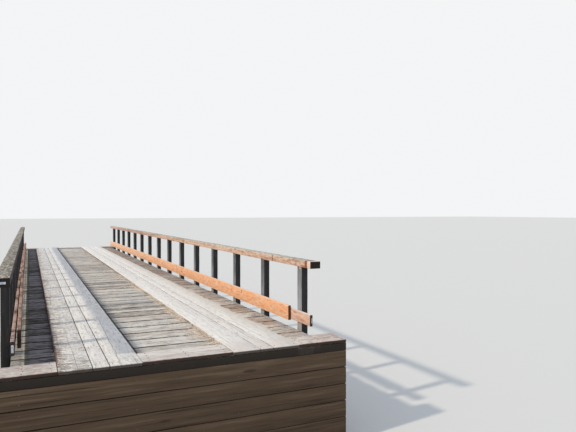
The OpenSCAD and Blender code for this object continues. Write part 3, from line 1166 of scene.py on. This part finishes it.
def makeWashered(name, radius, washerRadius, lengthOut):
    # a hexagon bolt head with an eased top edge, on its washer
    head = makeHead(name, radius, lengthOut, 6, 0.0)
    editMode()
    pick(head, "EDGE", lambda edge: all(v.co.z > lengthOut - onPlane for v in edge.verts))
    bpy.ops.mesh.bevel(offset=radius * fastenerSetup["easeShare"], segments=1, affect="EDGES")
    editMode(False)
    thickness = lengthOut * fastenerSetup["washerShare"]
    washer = makeHead(name + "Washer", washerRadius, thickness, 16, 0.0)
    selectOnly([head, washer])
    bpy.ops.object.join()
    return head


faceTurns = {
    "+Z": Matrix.Identity(4),
    "+X": Matrix.Rotation(math.pi / 2, 4, "Y"),
    "-X": Matrix.Rotation(-math.pi / 2, 4, "Y"),
    "-Y": Matrix.Rotation(math.pi / 2, 4, "X"),
    "+Y": Matrix.Rotation(-math.pi / 2, 4, "X"),
}


def spreadCopies(name, source, spots, material):
    # a copy of the source at each spot, which is a place and the way it faces, joined to one piece
    copies = []
    for place, facing in spots:
        copy = copyOf(source)
        spin = Matrix.Rotation(chance.uniform(0, math.tau), 4, "Z")
        copy.matrix_world = Matrix.Translation(place) @ faceTurns[facing] @ spin
        copies.append(copy)
    piece = joinAs(name, copies, material)
    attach(piece, "root")
    remove([source])
    print(f"{name}: {len(spots)} copies")


def stray(most):
    # up to so much to either side
    return chance.uniform(-most, most)


def spikeSpots():
    # places of the spikes: deck, runners, thresholds and backwalls
    setup = fastenerSetup
    deckHeight = deckTop - setup["sink"]
    runnerHeight = runnerTop - setup["sink"]
    spots = []
    for node in deckParts:
        for _, middle, size in laid[node]:
            for x in (-setup["deckRow"], setup["deckRow"]):
                for share in setup["quarters"]:
                    along = middle.y + share * size[1] + stray(setup["deckStray"][1])
                    if abs(along) < farEnd - setup["deckBare"]:
                        across = x + stray(setup["deckStray"][0])
                        spots.append(((across, along, deckHeight), "+Z"))
    for side in sides:
        for board in runnerBoards:
            for _, middle, size in laid[f"{side}_runner_{board}_board"]:
                rows = max(2, round(size[0] / setup["runnerStep"]))
                reach = size[0] - setup["runnerBare"]
                for row in range(rows + 1):
                    share = row / rows - 0.5
                    along = middle.y + share * reach + stray(setup["boardStray"])
                    for edge in (-1, 1):
                        across = middle.x + edge * (size[1] / 2 - setup["edgeInset"])
                        spots.append(((across, along, runnerHeight), "+Z"))
    for end, out, facing in (("near", -1, "-Y"), ("far", 1, "+Y")):
        for part in ("left", "middle", "right"):
            for _, middle, size in laid[f"{end}_threshold_{part}"]:
                for share in setup["thresholdShares"]:
                    for edge in setup["quarters"]:
                        across = middle.x + share * size[0] + stray(setup["boardStray"])
                        along = middle.y + edge * size[1]
                        spots.append(((across, along, runnerHeight), "+Z"))
        for _, middle, size in laid[f"{end}_backwall"]:
            face = middle.y + out * (size[1] / 2 - setup["fullSink"])
            for x in setup["backwallRows"]:
                for edge in setup["quarters"]:
                    spots.append(((x, face, middle.z + edge * size[2]), facing))
    return spots


def postSpots():
    # places of the rail spikes on top, and of the bolts through each post into its girder
    setup = fastenerSetup
    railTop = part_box("right_top_rail")[1].z - setup["fullSink"]
    spikes, bolts = [], []
    for node in posts:
        out, facing = (1, "+X") if node.startswith("right") else (-1, "-X")
        for _, middle, _ in laid[node]:
            for across, along in setup["railPair"]:
                spikes.append(((middle.x + across, middle.y + along, railTop), "+Z"))
            for drop in setup["boltDrops"]:
                place = (out * (postOut - setup["sink"]), middle.y, girderTop - drop)
                bolts.append((place, facing))
    return spikes, bolts


tagSetup = {
    "thickness": 0.0012,  # m
    "corner": 0.004,  # m
    "proud": 0.0003,  # m, from the timber's end to the middle of the tag
    # each in metres: its width, its height, and its place across and up from the end's middle
    "left_kerb_backing_board": (0.024, 0.076, 0.002, -0.004),
    "right_kerb_backing_board": (0.014, 0.062, 0.008, 0.0),
    "left_top_rail": (0.068, 0.022, 0.0, -0.003),
}


def makeTag(node, material):
    # a thin blank tag with rounded corners, on the near end of a board
    width, height, across, up = tagSetup[node]
    turn, middle, size = min(laid[node], key=lambda timber: timber[1].y)
    tip = middle - turn @ Vector((size[0] / 2 + tagSetup["proud"], 0, 0))
    bpy.ops.mesh.primitive_cube_add(
        size=1,
        location=tip + Vector((across, 0, up)),
        scale=(width, tagSetup["thickness"], height),
    )
    tag = bpy.context.object
    tag.name = node + "_tag"
    tag.data.name = tag.name
    bpy.ops.object.transform_apply()
    editMode()

    def isThrough(edge):
        return abs(edge.verts[0].co.y - edge.verts[1].co.y) > tagSetup["thickness"] * 0.5

    pick(tag, "EDGE", isThrough)
    bpy.ops.mesh.bevel(offset=tagSetup["corner"], segments=3, affect="EDGES")
    editMode(False)
    tag.data.materials.append(material)
    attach(tag, "root")


strawSetup = {
    "needles": 3600,
    "length": (0.035, 0.13),  # m
    "thickness": (0.0008, 0.0019),  # m
    "bend": 0.018,  # m, most that the middle stands off the straight line
    "bendAt": 0.06,  # m, half the length of a needle that bends so much
    "turn": 38,  # degrees, how much they stray from lying along the runner
    "offEdge": 0.006,  # m, the least from the runner's edge to a needle's middle
    "tipGap": 0.002,  # m, the least from the runner's edge to a needle's tip
    "lift": 0.004,  # m above the deck
    "arch": 0.002,  # m, how far a needle's middle stands above its ends
    "pile": 0.03,  # m, how high it lies at the runner's edge
    "spread": 0.022,  # m from the runner's edge
    "clumps": 27,
    "clumpShare": 0.72,  # of the needles
    "clumpSpread": 0.095,  # m from the runner's edge
    "clumpLength": 0.09,  # m
    "crowding": 1.6,  # above 1, more of it lies towards the near end
    "bare": (0.4, 0.5),  # m without straw at the near and the far end
}


def layStraw():
    # thin bent needles along the inner edge of the right runner, in one mesh
    setup = strawSetup
    draw = random.Random(5)
    first, last = nearEnd + setup["bare"][0], farEnd - setup["bare"][1]

    def somewhere():
        return first + (last - first) * draw.random() ** setup["crowding"]

    clumps = [somewhere() for _ in range(setup["clumps"])]
    corners, faces, luck = [], [], []
    for _ in range(setup["needles"]):
        spread = setup["spread"]
        if draw.random() < setup["clumpShare"]:
            along = draw.choice(clumps) + draw.gauss(0, setup["clumpLength"])
            spread = setup["clumpSpread"]
        else:
            along = somewhere()
        away = abs(draw.gauss(0, 1)) * spread
        middle = Vector((runnerIn - setup["offEdge"] - away, along, deckTop + setup["lift"]))
        middle.z += max(0, setup["pile"] - away) * draw.random()
        heading = math.radians(draw.gauss(90, setup["turn"]))
        way = Vector((math.cos(heading), math.sin(heading), 0))
        reach = draw.uniform(*setup["length"]) / 2
        room = away + setup["offEdge"] - setup["tipGap"]
        if abs(way.x) * reach > room:
            reach = room / abs(way.x)
        across = Vector((-way.y, way.x, 0))
        bend = draw.uniform(-1, 1) * setup["bend"] * reach / setup["bendAt"]
        if bend * across.x > 0:
            bend = -bend
        thick = draw.uniform(*setup["thickness"])
        own = (draw.random(), draw.random(), draw.random())
        start = len(corners)
        # three rings, at the thinner ends and in the raised and bent middle
        for share, off, width in ((-1, 0, 0.5), (0, bend, 1), (1, 0, 0.4)):
            centre = middle + way * reach * share + across * off
            centre.z += thick + (setup["arch"] if share == 0 else 0)
            for turn in range(3):
                angle = turn * math.tau / 3
                rim = across * math.cos(angle) + Vector((0, 0, 1)) * math.sin(angle)
                corners.append(centre + rim * thick * width)
                luck.append(own)
        for ring in (0, 3):
            for turn in range(3):
                a, b = start + ring + turn, start + ring + (turn + 1) % 3
                faces.append((a, b, b + 3, a + 3))
        faces.append((start + 2, start + 1, start))
        faces.append((start + 6, start + 7, start + 8))
    data = bpy.data.meshes.new("straw")
    data.from_pydata(corners, [], faces)
    attribute = data.attributes.new("luck", "FLOAT_VECTOR", "POINT")
    attribute.data.foreach_set("vector", np.array(luck).ravel())
    straw = bpy.data.objects.new("straw", data)
    addToScene(straw)
    selectOnly([straw])
    editMode()
    bpy.ops.mesh.select_all(action="SELECT")
    bpy.ops.mesh.normals_make_consistent(inside=False)
    editMode(False)
    straw.data.materials.append(strawPaint())
    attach(straw, "root")


steel = steelPaint()
white = tagPaint()
railSpikes, girderBolts = postSpots()
spike = makeHead(
    "spikeStock",
    fastenerSetup["spikeRadius"],
    fastenerSetup["spikeHeight"],
    8,
    fastenerSetup["spikeCrown"],
)
spreadCopies("spikes", spike, spikeSpots() + railSpikes, steel)
bolt = makeWashered(
    "boltStock",
    fastenerSetup["boltRadius"],
    fastenerSetup["washerRadius"],
    fastenerSetup["boltHeight"],
)
spreadCopies("girder_bolts", bolt, girderBolts, steel)
for node in ("left_kerb_backing_board", "right_kerb_backing_board", "left_top_rail"):
    makeTag(node, white)
layStraw()
print("straw laid")
